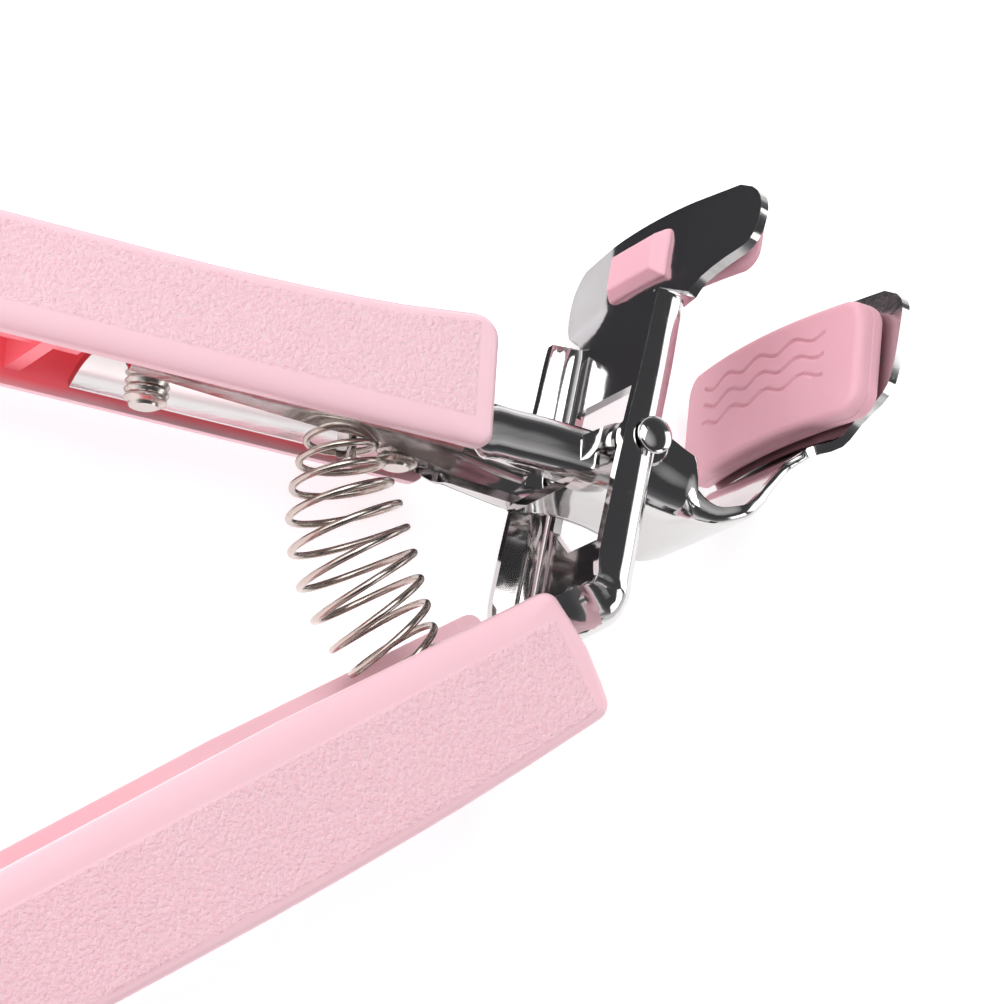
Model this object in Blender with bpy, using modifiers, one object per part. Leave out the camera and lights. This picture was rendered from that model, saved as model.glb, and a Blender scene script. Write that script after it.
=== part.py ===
"""Spring-open bowl clip: two trough handles, two pressed-steel arms on a riveted pivot.

The clip lies on its side. The pivot axis is +Z, the arms swing in the XY plane, and the jaws
point along +X. In-plane positions are millimetres from the pivot; the rig turns them to metres.
"""
import math

import bmesh
import bpy
from mathutils import Matrix, Vector

MM = 0.001
PIVOT = (0.048588, 0.004350, 0.019200)    # pivot axis in the part's frame, at the clip's mid-plane

HANDLE_HALF_WIDTH = 8.5
HANDLE_WALL = 2.0
HANDLE_ROUND = 1.5
HANDLE_LENGTH = 116.0
ARM_SHEET = 1.0                     # thickness of both stampings
ARM_REAR = 44.5                     # how far each channel reaches into its handle
MOUTH_DEPTH = 6.9                   # opening in each handle's front wall, below its open edge
CHANNEL_WALL = 4.6
SCREW_PLACES = {"front": 5.6, "rear": 34.5}
BOSS_RADIUS = 4.5
SCREW_RADIUS = 1.95
SCREW_HEAD_RADIUS = 3.4
SCREW_HEAD_HEIGHT = 2.0
SCREW_SEAT = 8.8                    # depth of the shelf under the screw's head
GAP = 0.3                           # clearance between pieces that touch

# Origin at the front corner of the open edge; the angle points along the handle to its rear.
# Depths are below the open edge: "web" for the steel channel, "tip" for the screws' ends.
UPPER = {"corner": (-17.6, 1.6), "angle": 161.2, "side": -1,
         "outer": [(0, 14.0), (12, 12.5), (23, 11.9), (35, 11.6), (60, 11.6), (85, 11.6),
                   (105, 10.8)],
         "drop": 0.0, "web": 3.4, "tip": 0.0}
LOWER = {"corner": (-13.9, -13.3), "angle": 196.3, "side": 1,
         "outer": [(0, 13.6), (13, 14.4), (25, 14.9), (45, 15.2), (70, 15.0), (90, 14.0),
                   (105, 12.4)],
         "drop": 0.7, "web": 5.6, "tip": 2.2}

FRAME_TILT = 64.7                   # direction of the rear jaw's frame
FRAME_WEB = 2.2                     # web's distance in front of the pivot
FRAME_HALF_WIDTH = 10.5
WINDOW = (-8.7, 8.4)
WINDOW_HALF_WIDTH = 8.3
FRONT_TILT = 68.6
REAR_PAD = {"half": 15.8, "thick": 2.2, "height": 7.6, "middle": 23.3, "bend": 80.0}
FRONT_PAD = {"half": 15.7, "thick": 3.2, "height": 12.6, "middle": 6.2, "bend": 80.0}
FRONT_PLATE = (22.7, -1.6)          # foot of the front jaw's plate
PLUG = (12.0, 5.6)                  # width and height of each pad's plug
PLUG_HOLE_MARGIN = 0.3

EAR_PLANE = 7.5
BAR_PLANE = 10.5
RIVET_SHANK = 1.35
RIVET_HOLE = 1.65
RIVET_HEAD_RADIUS = 2.0
RIVET_HEAD_HEIGHT = 0.9
WASHER = {"radius": 2.8, "low": 8.25, "high": 9.75}

SPRING_WIRE = 0.38
SPRING_TURNS = 10.64
SPRING_ARC = (167.2, 218.0)         # the spring bends round the pivot, from seat to seat
SPRING_REACH = (29.5, 33.0)         # its distance from the pivot at both seats
SPRING_RADII = (3.7, 6.1, 3.8)      # at the upper end, at the belly and at the lower end
SPRING_START = 113.3
STEPS_PER_TURN = 12

COLOURS = {
    "pink": ((0.91, 0.56, 0.62), 0.55, 0.0),
    "pad": ((0.86, 0.42, 0.48), 0.6, 0.0),
    "chrome": ((0.62, 0.61, 0.60), 0.12, 1.0),
    "steel": ((0.50, 0.47, 0.44), 0.3, 1.0),
}


def clear_scene():
    for old in list(bpy.data.objects):
        bpy.data.objects.remove(old, do_unlink=True)


def collection(name):
    made = bpy.data.collections.new(name)
    bpy.context.scene.collection.children.link(made)
    return made


def material(name, finish):
    colour, roughness, metallic = COLOURS[finish]
    made = bpy.data.materials.new(name)
    made.use_nodes = True
    shader = made.node_tree.nodes["Principled BSDF"]
    shader.inputs["Base Color"].default_value = (*colour, 1.0)
    shader.inputs["Roughness"].default_value = roughness
    shader.inputs["Metallic"].default_value = metallic
    made.diffuse_color = (*colour, 1.0)
    return made


def empty(name):
    made = bpy.data.objects.new(name, None)
    made.location = PIVOT
    PARTS.objects.link(made)
    return made


def add_object(name, data, parent=None, finish=None, place=(0, 0), angle=0.0):
    """Put a mesh or curve, given in millimetres, on the rig."""
    data.transform(Matrix.Scale(MM, 4))
    made = bpy.data.objects.new(name, data)
    if finish:
        PARTS.objects.link(made)
        data.materials.append(material(name, finish))
    else:
        CUTTERS.objects.link(made)
        made.hide_render = True
        made.display_type = "WIRE"
    made.parent = parent
    made.location = (place[0] * MM, place[1] * MM, 0)
    made.rotation_euler = (0, 0, math.radians(angle))
    return made


def outline_mesh(name, points, low, high):
    """A flat outline in XY, given thickness from low to high along Z."""
    curve = bpy.data.curves.new(name, "CURVE")
    curve.dimensions = "2D"
    curve.fill_mode = "BOTH"
    curve.extrude = (high - low) / 2
    spline = curve.splines.new("POLY")
    spline.points.add(len(points) - 1)
    for target, (x, y) in zip(spline.points, points):
        target.co = (x, y, 0, 1)
    spline.use_cyclic_u = True
    return curve_to_mesh(name, curve, (low + high) / 2, flat_ends=True)


def curve_to_mesh(name, curve, lift=0.0, flat_ends=False):
    holder = bpy.data.objects.new(name, curve)
    bpy.context.scene.collection.objects.link(holder)
    bpy.context.view_layer.update()
    evaluated = holder.evaluated_get(bpy.context.evaluated_depsgraph_get())
    mesh = bpy.data.meshes.new_from_object(evaluated)
    bpy.data.objects.remove(holder, do_unlink=True)
    work = bmesh.new()
    work.from_mesh(mesh)
    bmesh.ops.remove_doubles(work, verts=work.verts, dist=0.0001)
    bmesh.ops.translate(work, verts=work.verts, vec=(0, 0, lift))
    if flat_ends:
        bmesh.ops.dissolve_limit(work, angle_limit=0.002, verts=work.verts, edges=work.edges)
    bmesh.ops.recalc_face_normals(work, faces=work.faces)
    work.to_mesh(mesh)
    work.free()
    return mesh


def cylinder_mesh(name, radius, start, end, segments=24):
    """A cylinder between two points."""
    mesh = bpy.data.meshes.new(name)
    work = bmesh.new()
    axis = Vector(end) - Vector(start)
    turn = Vector((0, 0, 1)).rotation_difference(axis).to_matrix().to_4x4()
    middle = Matrix.Translation((Vector(start) + Vector(end)) / 2)
    bmesh.ops.create_cone(work, cap_ends=True, segments=segments, radius1=radius, radius2=radius,
                          depth=axis.length, matrix=middle @ turn)
    work.to_mesh(mesh)
    work.free()
    return mesh


def box_mesh(name, low, high):
    mesh = bpy.data.meshes.new(name)
    work = bmesh.new()
    bmesh.ops.create_cube(work, size=1.0)
    size = Vector(high) - Vector(low)
    middle = (Vector(high) + Vector(low)) / 2
    for vert in work.verts:
        vert.co = Vector(a * b for a, b in zip(vert.co, size)) + middle
    work.to_mesh(mesh)
    work.free()
    return mesh


def boolean(target, tool, operation, solver="EXACT"):
    step = target.modifiers.new(tool.name, "BOOLEAN")
    step.operation = operation
    step.object = tool
    step.solver = solver


def bevel(target, width, segments=2, angle=40.0):
    step = target.modifiers.new("rounded", "BEVEL")
    step.width = width * MM
    step.segments = segments
    step.limit_method = "ANGLE"
    step.angle_limit = math.radians(angle)


def smooth(target):
    target.data.shade_smooth()
    target.data.set_sharp_from_angle(angle=math.radians(35))


# ---- handles

def handle_outline(spec, inset=0.0):
    """The handle's side view: open edge along the local X axis, outer edge at depth."""
    side = spec["side"]
    end = HANDLE_LENGTH - inset
    lift = -4.0 if inset else 0.0
    outer = [(max(u, inset), depth - inset) for u, depth in spec["outer"]]
    last = outer[-1][1]
    tail = [(end - 4.0, last - 1.4), (end, last - 5.0), (end, lift)]
    open_edge = [(26.0, lift - spec["drop"]), (inset, lift)]
    return [(u, side * depth) for u, depth in outer + tail + open_edge]


def rib_floor(spec, u):
    """Depth at which the ribs at u end, inside the outer wall."""
    for (u0, d0), (u1, d1) in zip(spec["outer"], spec["outer"][1:]):
        if u0 <= u <= u1:
            return d0 + (d1 - d0) * (u - u0) / (u1 - u0) - HANDLE_WALL / 2
    return spec["outer"][-1][1] - HANDLE_WALL


def make_handle(name, spec, parent):
    side = spec["side"]
    place = {"place": spec["corner"], "angle": spec["angle"], "parent": parent}
    width = HANDLE_HALF_WIDTH
    body = add_object(name, outline_mesh(name, handle_outline(spec), -width, width), finish="pink", **place)
    bevel(body, HANDLE_ROUND, segments=3)
    inner = width - HANDLE_WALL

    def cutter(label, mesh):
        return add_object(name + label, mesh, **place)

    hollow = outline_mesh("hollow", handle_outline(spec, HANDLE_WALL), -inner, inner)
    boolean(body, cutter("_hollow", hollow), "DIFFERENCE", "MANIFOLD")
    reach = sorted((-3.0 * side, MOUTH_DEPTH * side))
    mouth_half = inner - 0.1
    mouth = box_mesh("mouth", (-3, reach[0], -mouth_half), (HANDLE_WALL + 3, reach[1], mouth_half))
    boolean(body, cutter("_mouth", mouth), "DIFFERENCE", "MANIFOLD")

    web_side = spec["web"] + ARM_SHEET / 2 + GAP
    spine = [(u, rib_floor(spec, u)) for u in range(int(ARM_REAR) + 2, int(HANDLE_LENGTH) - 6, 8)]
    spine = [(spine[0][0], 2.4)] + spine + [(HANDLE_LENGTH - 1.5, spine[-1][1] - 3), (HANDLE_LENGTH - 1.5, 2.4)]
    spine_mesh = outline_mesh("spine", [(u, side * depth) for u, depth in spine], -0.8, 0.8)
    boolean(body, cutter("_spine", spine_mesh), "UNION", "MANIFOLD")
    for label, u, top in (("_cross", ARM_REAR + 5.0, 1.6), ("_stop", ARM_REAR + 32.0, 2.6)):
        low, high = sorted((top * side, rib_floor(spec, u) * side))
        rib = box_mesh(label, (u, low, -inner - 0.4), (u + 1.6, high, inner + 0.4))
        boolean(body, cutter(label, rib), "UNION", "MANIFOLD")
    for key, u in SCREW_PLACES.items():
        boss = cylinder_mesh(key, BOSS_RADIUS, (u, web_side * side, 0), (u, rib_floor(spec, u) * side, 0), 24)
        boolean(body, cutter("_boss_" + key, boss), "UNION", "MANIFOLD")
        hole = cylinder_mesh(key, SCREW_RADIUS + GAP, (u, 2 * side, 0), (u, 20 * side, 0), 20)
        boolean(body, cutter("_hole_" + key, hole), "DIFFERENCE", "MANIFOLD")
        pocket = cylinder_mesh(key, SCREW_HEAD_RADIUS + 0.4, (u, SCREW_SEAT * side, 0), (u, 20 * side, 0), 24)
        boolean(body, cutter("_pocket_" + key, pocket), "DIFFERENCE", "MANIFOLD")
    return body


def make_screws(prefix, spec, parent):
    side = spec["side"]
    for key, u in SCREW_PLACES.items():
        top = SCREW_SEAT + GAP + SCREW_HEAD_HEIGHT
        head = SCREW_SEAT + GAP
        tip = spec["tip"]
        profile = [(0, tip), (SCREW_RADIUS - 0.5, tip), (SCREW_RADIUS, tip + 0.6),
                   (SCREW_RADIUS, head), (SCREW_HEAD_RADIUS, head), (SCREW_HEAD_RADIUS, top - 0.8),
                   (SCREW_HEAD_RADIUS - 0.8, top), (0, top)]
        screw = turned("%s_screw_%s" % (prefix, key), profile, "steel", parent)
        corner = Vector((*spec["corner"], 0)) * MM
        along = Matrix.Rotation(math.radians(spec["angle"]), 4, "Z")
        screw.matrix_local = (Matrix.Translation(corner) @ along @ Matrix.Translation((u * MM, 0, 0))
                              @ Matrix.Rotation(math.radians(-90 * side), 4, "X"))
        smooth(screw)


def turned(name, profile, finish, parent, segments=24):
    """A profile of (radius, height) points spun about Z; it is listed from its low end up."""
    mesh = bpy.data.meshes.new(name)
    points = [(radius, 0, height) for radius, height in reversed(profile)]
    mesh.from_pydata(points, [(i, i + 1) for i in range(len(points) - 1)], [])
    made = add_object(name, mesh, parent, finish)
    spin = made.modifiers.new("spin", "SCREW")
    spin.steps = segments
    spin.render_steps = segments
    spin.use_merge_vertices = True
    spin.merge_threshold = 0.00001
    return made


# ---- pressed arms

CORNER_STEPS = 3
WEB_POINTS = 9


def cross_section(half_width, wall, bow):
    """Points (z, depth) across a sheet: depth grows from the web towards the walls' free edges."""
    radius = min(1.6, wall * 0.6)
    points = [(half_width, max(wall, radius)), (half_width, radius)]
    for step in range(1, CORNER_STEPS):
        turn = math.pi / 2 * step / CORNER_STEPS
        points.append((half_width - radius * (1 - math.cos(turn)), radius * (1 - math.sin(turn))))
    flat = half_width - radius
    points += [(flat - flat * step / (WEB_POINTS // 2), 0.0) for step in range(WEB_POINTS // 2)]
    mirrored = [(-z, depth) for z, depth in reversed(points)]
    return [(z, depth - bow * z * z) for z, depth in points + [(0.0, 0.0)] + mirrored]


def pressed_sheet(name, sections, parent, finish=None, thickness=ARM_SHEET):
    """A sheet swept through sections of (x, y, direction, half width, wall, bow)."""
    mesh = bpy.data.meshes.new(name)
    work = bmesh.new()
    rows = []
    for x, y, direction, half_width, wall, bow in sections:
        turn = math.radians(direction)
        inward = Vector((-math.sin(turn), math.cos(turn)))
        row = []
        for z, depth in cross_section(half_width, wall, bow):
            row.append(work.verts.new((x + inward.x * depth, y + inward.y * depth, z)))
        rows.append(row)
    for first, second in zip(rows, rows[1:]):
        for a, b, c, d in zip(first, first[1:], second[1:], second):
            work.faces.new((a, b, c, d))
    bmesh.ops.recalc_face_normals(work, faces=work.faces)
    work.to_mesh(mesh)
    work.free()
    sheet = add_object(name, mesh, parent, finish)
    shell = sheet.modifiers.new("sheet", "SOLIDIFY")
    shell.thickness = thickness * MM
    shell.offset = 0.0
    return sheet


def handle_point(spec, u, depth):
    turn = math.radians(spec["angle"])
    along = Vector((math.cos(turn), math.sin(turn)))
    across = Vector((-math.sin(turn), math.cos(turn))) * spec["side"]
    return Vector(spec["corner"]) + along * u + across * depth


def frame_point(s, n=FRAME_WEB):
    """A point on the rear jaw's frame: s along it, n in front of the pivot."""
    turn = math.radians(FRAME_TILT)
    return Vector((math.cos(turn) * s + math.sin(turn) * n, math.sin(turn) * s - math.cos(turn) * n))


def rear_jaw_sections():
    sections = []
    heading = LOWER["angle"] - 180
    for u, half_width in ((ARM_REAR, 5.5), (20, 5.5), (1.0, 5.5), (-0.6, 5.9), (-3.2, 8.2)):
        x, y = handle_point(LOWER, u, LOWER["web"])
        sections.append((x, y, heading, half_width, CHANNEL_WALL, 0))
    corner = Vector((-6.4, -16.9))
    for share, out in ((0.15, -2.2), (0.38, -1.0), (0.62, 1.0), (0.85, 2.3)):
        turn = heading + (FRAME_TILT - heading) * share
        step = Vector((math.cos(math.radians(turn)), math.sin(math.radians(turn)))) * out
        lift = Vector((-math.sin(math.radians(turn)), math.cos(math.radians(turn)))) * 0.25
        x, y = corner + step + lift * (1 - abs(share - 0.5))
        sections.append((x, y, turn, 9.0 + 1.5 * share / 0.85, 5.0, 0))
    for s, web, wall in ((-13.0, 1.7, 6.0), (-8.7, 1.9, 5.4), (0, 2.2, 4.7), (8.4, 2.2, 4.3), (15.8, 2.2, 3.9)):
        sections.append((*frame_point(s, web), FRAME_TILT, FRAME_HALF_WIDTH, wall, 0))
    full = 1 / (2 * REAR_PAD["bend"])
    for s, half_width, share in ((16.5, 10.8, 0.1), (18.0, 12.2, 0.4), (19.4, 15.2, 0.7), (20.8, 17.4, 1),
                                 (22.6, 18.5, 1), (24.4, 18.7, 1), (26.0, 18.3, 1), (27.3, 17.0, 1),
                                 (28.0, 15.2, 1)):
        sections.append((*frame_point(s), FRAME_TILT, half_width, 0, full * share))
    return sections


def make_rear_jaw(parent):
    arm = pressed_sheet("rear_jaw_frame", rear_jaw_sections(), parent, "chrome")
    turn = {"parent": parent, "angle": FRAME_TILT}
    half = WINDOW_HALF_WIDTH
    window = add_object("window", box_mesh("window", (WINDOW[0], -5, -half), (WINDOW[1], 5, half)), **turn)
    boolean(arm, window, "DIFFERENCE")
    width, height = PLUG[0] / 2 + PLUG_HOLE_MARGIN, PLUG[1] / 2 + PLUG_HOLE_MARGIN
    middle = REAR_PAD["middle"]
    hole_box = box_mesh("plug_hole", (middle - height, -6, -width), (middle + height, 3, width))
    boolean(arm, add_object("rear_plug_hole", hole_box, **turn), "DIFFERENCE")
    hole = add_object("bar_holes", cylinder_mesh("bar", RIVET_HOLE, (0, 0, -14), (0, 0, 14), 20), parent)
    boolean(arm, hole, "DIFFERENCE")
    relief = cylinder_mesh("relief", WASHER["radius"] + 0.4, (0, 0, -9.9), (0, 0, 9.9), 28)
    boolean(arm, add_object("washer_relief", relief, parent), "DIFFERENCE")
    cut_screw_holes(arm, LOWER, parent)


def cut_screw_holes(arm, spec, parent):
    side = spec["side"]
    for key, u in SCREW_PLACES.items():
        mesh = cylinder_mesh("arm_hole", SCREW_RADIUS + GAP, (u, 1 * side, 0), (u, 9 * side, 0), 20)
        hole = add_object("%s_%s" % (arm.name, key), mesh, parent, place=spec["corner"], angle=spec["angle"])
        boolean(arm, hole, "DIFFERENCE")


def front_jaw_channel():
    """Channel in the upper handle; its walls hang down, so it is swept from the jaw to the rear."""
    sections = []
    web = UPPER["web"]
    for u, depth, half_width, wall, bow in (
            (-13.0, 4.7, 7.5, 4.6, 0), (-9, 5.0, 7.2, 4.4, 0), (-4.5, 5.3, 6.5, 4.4, 0),
            (-1.6, 5.4, 6.0, 4.6, 0), (-0.4, 4.9, 5.8, 4.1, 0), (1.0, web, 5.8, 0.8, -0.04),
            (3.0, web, 5.9, 0, -0.06), (20, web, 5.9, 0, -0.06), (ARM_REAR, web, 5.9, 0, -0.06)):
        x, y = handle_point(UPPER, u, depth)
        sections.append((x, y, UPPER["angle"], half_width, wall, bow))
    return sections


def front_jaw_spoon():
    bow = 1 / (2 * FRONT_PAD["bend"])
    sections = [
        (-7.6, -2.4, -20, 7.5, 4.2, 0), (-3.6, -3.6, -22, 7.5, 6.6, 0), (0.0, -5.2, -26, 7.5, 8.4, 0),
        (3.2, -6.9, -28, 7.5, 5.8, 0), (5.6, -8.1, -20, 7.6, 2.6, 0), (8.0, -8.9, -6, 8.2, 1.2, 0),
        (10.4, -8.8, 10, 8.6, 1.0, 0), (12.8, -7.8, 32, 8.4, 0.9, 0), (14.8, -6.2, 40, 8.2, 0.7, 0),
        (17.2, -4.5, 32, 8.2, 0.4, 0), (19.6, -3.4, 26, 8.8, 0, 0), (21.7, -2.6, 44, 9.8, 0, bow),
    ]
    turn = math.radians(FRONT_TILT)
    for rise, half_width in ((0.4, 11.2), (1.9, 14.6), (3.4, 16.6), (6.0, 17.6), (9.0, 18.3), (12.0, 18.7),
                             (13.4, 17.8), (14.2, 16.0)):
        foot_x, foot_y = FRONT_PLATE
        sections.append((foot_x + math.cos(turn) * rise, foot_y + math.sin(turn) * rise, FRONT_TILT,
                         half_width, 0, bow))
    return sections


def make_front_jaw(parent):
    arm = pressed_sheet("front_jaw_arm", front_jaw_spoon(), parent, "chrome")
    channel = pressed_sheet("front_channel", front_jaw_channel(), parent, thickness=ARM_SHEET * 0.94)
    boolean(arm, channel, "UNION")
    hole = add_object("ear_holes", cylinder_mesh("ear", RIVET_HOLE, (0, 0, -9), (0, 0, 9), 20), parent)
    boolean(arm, hole, "DIFFERENCE")
    width, height = PLUG[0] / 2 + PLUG_HOLE_MARGIN, PLUG[1] / 2 + PLUG_HOLE_MARGIN
    middle = FRONT_PAD["middle"]
    hole_box = box_mesh("plug_hole", (middle - height, -4, -width), (middle + height, 4, width))
    slot = add_object("front_plug_hole", hole_box, parent, place=FRONT_PLATE, angle=FRONT_TILT)
    boolean(arm, slot, "DIFFERENCE")
    cut_screw_holes(arm, UPPER, parent)


# ---- pads

def make_pad(name, parent, place, tilt, pad, facing):
    """A curved rubber block on a jaw plate, with a square plug through the plate.

    Its local X runs up the jaw, Y away from the jaw's front and Z across it.
    """
    steps = 8
    middle = pad["middle"]
    zs = [pad["half"] * (2 * step / steps - 1) for step in range(steps + 1)]
    back = [(z, -z * z / (2 * pad["bend"])) for z in zs]
    near = -facing * (ARM_SHEET / 2 + GAP)
    far = -facing * (ARM_SHEET / 2 + GAP + pad["thick"])
    low, high = sorted((near, far))
    points = [(y + low, z) for z, y in back] + [(y + high, z) for z, y in reversed(back)]
    mesh = outline_mesh(name, points, -pad["height"] / 2, pad["height"] / 2)
    mesh.transform(Matrix(((0, 0, 1, middle), (1, 0, 0, 0), (0, 1, 0, 0), (0, 0, 0, 1))))
    body = add_object(name, mesh, parent, "pad", place, tilt)
    bevel(body, 0.8, segments=2)
    inner, outer = sorted((near - facing * 0.8, facing * (ARM_SHEET / 2 + 1.2)))
    block = box_mesh("plug", (middle - PLUG[1] / 2, inner, -PLUG[0] / 2),
                     (middle + PLUG[1] / 2, outer, PLUG[0] / 2))
    boolean(body, add_object(name + "_plug", block, parent, place=place, angle=tilt), "UNION")


# ---- pivot and spring

def make_pivot_pieces(parent):
    tail = EAR_PLANE - ARM_SHEET / 2 - GAP
    head = BAR_PLANE + ARM_SHEET / 2 + GAP
    dome = [(RIVET_HEAD_RADIUS * math.cos(turn), head + RIVET_HEAD_HEIGHT * math.sin(turn))
            for turn in (math.radians(a) for a in (0, 25, 50, 72))]
    profile = [(0, tail - 0.8), (1.4, tail - 0.8), (1.95, tail - 0.3), (1.95, tail), (RIVET_SHANK, tail),
               (RIVET_SHANK, head)] + dome + [(0, head + RIVET_HEAD_HEIGHT)]
    for name, flip in (("near", 0), ("far", 180)):
        rivet = turned("pivot_rivet_" + name, profile, "chrome", parent)
        rivet.rotation_euler = (math.radians(flip), 0, 0)
        smooth(rivet)
        ends = (WASHER["low"], WASHER["high"]) if flip == 0 else (-WASHER["high"], -WASHER["low"])
        disc = cylinder_mesh("washer", WASHER["radius"], (0, 0, ends[0]), (0, 0, ends[1]), 28)
        washer = add_object("pivot_washer_" + name, disc, parent, "chrome")
        core = cylinder_mesh("core", RIVET_HOLE, (0, 0, ends[0] - 1), (0, 0, ends[1] + 1), 20)
        boolean(washer, add_object("washer_core_" + name, core, parent), "DIFFERENCE")
        smooth(washer)


def blend(ends, share):
    return ends[0] + (ends[1] - ends[0]) * share


def spring_point(share):
    """A point on the wire's centre line: a barrel coil whose axis is an arc about the pivot."""
    # the pitch closes a little at both ends
    travel = share - math.sin(2 * math.pi * share) / (2 * math.pi) * 0.2
    swell = math.sin(math.pi * share) ** 1.2
    radius = blend((SPRING_RADII[0], SPRING_RADII[2]), share) * (1 - swell) + SPRING_RADII[1] * swell
    turn = math.radians(SPRING_START - 360 * SPRING_TURNS * share)
    bearing = math.radians(blend(SPRING_ARC, travel))
    reach = blend(SPRING_REACH, travel) + radius * math.cos(turn)
    return (reach * math.cos(bearing), reach * math.sin(bearing), radius * math.sin(turn))


def make_spring(parent):
    count = int(SPRING_TURNS * STEPS_PER_TURN)
    curve = bpy.data.curves.new("return_spring", "CURVE")
    curve.dimensions = "3D"
    curve.bevel_depth = SPRING_WIRE
    curve.bevel_resolution = 2
    curve.use_fill_caps = True
    spline = curve.splines.new("POLY")
    spline.points.add(count)
    for index, target in enumerate(spline.points):
        target.co = (*spring_point(index / count), 1)
    mesh = curve_to_mesh("return_spring", curve)
    spring = add_object("return_spring", mesh, parent, "steel")
    smooth(spring)


clear_scene()
PARTS = collection("bowl_clip")
CUTTERS = collection("cutters")

fixed_side = empty("pivot_fixed")
moving_side = empty("pivot_moving")

make_handle("lower_handle", LOWER, fixed_side)
make_handle("upper_handle", UPPER, moving_side)
make_screws("lower", LOWER, fixed_side)
make_screws("upper", UPPER, moving_side)
make_rear_jaw(fixed_side)
make_front_jaw(moving_side)
make_pad("rear_pad", fixed_side, tuple(frame_point(0)), FRAME_TILT, REAR_PAD, 1)
make_pad("front_pad", moving_side, FRONT_PLATE, FRONT_TILT, FRONT_PAD, -1)
make_pivot_pieces(fixed_side)
make_spring(fixed_side)
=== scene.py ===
import math

import bmesh
import bpy
from mathutils import Matrix, Vector


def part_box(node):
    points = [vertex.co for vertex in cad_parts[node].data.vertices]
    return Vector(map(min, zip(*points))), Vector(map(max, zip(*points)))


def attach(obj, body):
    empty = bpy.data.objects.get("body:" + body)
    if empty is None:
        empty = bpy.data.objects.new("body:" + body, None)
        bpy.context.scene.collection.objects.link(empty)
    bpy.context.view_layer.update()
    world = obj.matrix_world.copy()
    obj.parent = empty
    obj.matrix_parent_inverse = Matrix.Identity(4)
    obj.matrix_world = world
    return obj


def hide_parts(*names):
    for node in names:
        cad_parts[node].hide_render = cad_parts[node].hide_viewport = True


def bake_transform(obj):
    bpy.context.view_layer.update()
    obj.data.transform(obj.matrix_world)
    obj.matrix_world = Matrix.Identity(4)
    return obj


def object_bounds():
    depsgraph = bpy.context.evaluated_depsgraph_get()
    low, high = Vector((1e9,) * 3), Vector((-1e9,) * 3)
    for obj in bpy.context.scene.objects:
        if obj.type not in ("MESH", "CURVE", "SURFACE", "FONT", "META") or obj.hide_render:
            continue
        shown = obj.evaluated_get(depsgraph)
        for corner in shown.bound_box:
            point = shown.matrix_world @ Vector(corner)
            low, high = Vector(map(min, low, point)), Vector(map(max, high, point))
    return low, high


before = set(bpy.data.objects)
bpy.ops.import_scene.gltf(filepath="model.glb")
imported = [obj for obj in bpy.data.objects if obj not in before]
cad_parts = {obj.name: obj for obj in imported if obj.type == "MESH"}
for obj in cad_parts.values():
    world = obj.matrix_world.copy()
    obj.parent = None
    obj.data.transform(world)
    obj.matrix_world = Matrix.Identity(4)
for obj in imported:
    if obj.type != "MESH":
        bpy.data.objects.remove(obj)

mm = 0.001
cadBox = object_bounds()
washerLow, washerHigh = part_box("pivot_washer_near")
jawLow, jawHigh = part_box("rear_jaw_frame")
pivot = Vector(((washerLow.x + washerHigh.x) / 2, (washerLow.y + washerHigh.y) / 2, (jawLow.z + jawHigh.z) / 2))
fixedSide, movingSide = "lower_side", "upper_side"
print("frame loaded")


# node trees: one class adds nodes, the other lets sockets take part in plain sums
class Graph:
    def __init__(self, tree):
        self.tree = tree

    def add(self, kind, settings=None, inputs=(), output=0):
        node = self.tree.nodes.new(kind)
        for key, value in (settings or {}).items():
            if key == "stops":
                ramp = node.color_ramp
                while len(ramp.elements) < len(value):
                    ramp.elements.new(0.5)
                for element, (position, colour) in zip(ramp.elements, value):
                    element.position = position
                    element.color = colour if len(colour) == 4 else (*colour, 1.0)
            else:
                setattr(node, key, value)
        pairs = inputs.items() if isinstance(inputs, dict) else enumerate(inputs)
        for key, value in pairs:
            if isinstance(value, Sock):
                self.tree.links.new(value.socket, node.inputs[key])
            elif value is not None:
                node.inputs[key].default_value = value
        return Sock(self, node.outputs[output])


class Sock:
    def __init__(self, graph, socket):
        self.graph = graph
        self.socket = socket

    def maths(self, operation, *others):
        return self.graph.add("ShaderNodeMath", {"operation": operation}, [self, *others])

    def clamped(self):
        return self.maths("MINIMUM", 1.0).maths("MAXIMUM", 0.0)

    def other(self, name):
        return Sock(self.graph, self.socket.node.outputs[name])

    def __add__(self, value):
        return self.maths("ADD", value)

    def __sub__(self, value):
        return self.maths("SUBTRACT", value)

    def __rsub__(self, value):
        return self.graph.add("ShaderNodeMath", {"operation": "SUBTRACT"}, [value, self])

    def __mul__(self, value):
        return self.maths("MULTIPLY", value)

    def __truediv__(self, value):
        return self.maths("DIVIDE", value)

    def __pow__(self, value):
        return self.maths("POWER", value)

    __radd__ = __add__
    __rmul__ = __mul__


# plain shapes, given in mm round the pivot

def toWorld(point):
    return pivot + Vector(point) * mm


def newObject(name, mesh):
    made = bpy.data.objects.new(name, mesh)
    bpy.context.scene.collection.objects.link(made)
    return made


def fromPoints(name, points, faces):
    mesh = bpy.data.meshes.new(name)
    mesh.from_pydata([toWorld(point) for point in points], [], faces)
    return newObject(name, mesh)


def tidyMesh(piece, merge=0.00001):
    work = bmesh.new()
    work.from_mesh(piece.data)
    bmesh.ops.remove_doubles(work, verts=work.verts, dist=merge)
    bmesh.ops.dissolve_degenerate(work, edges=work.edges, dist=merge)
    bmesh.ops.recalc_face_normals(work, faces=work.faces)
    work.to_mesh(piece.data)
    work.free()


def bake(piece):
    bpy.context.view_layer.update()
    shown = piece.evaluated_get(bpy.context.evaluated_depsgraph_get())
    mesh = bpy.data.meshes.new_from_object(shown)
    piece.modifiers.clear()
    old = piece.data
    piece.data = mesh
    bpy.data.meshes.remove(old)


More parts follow.
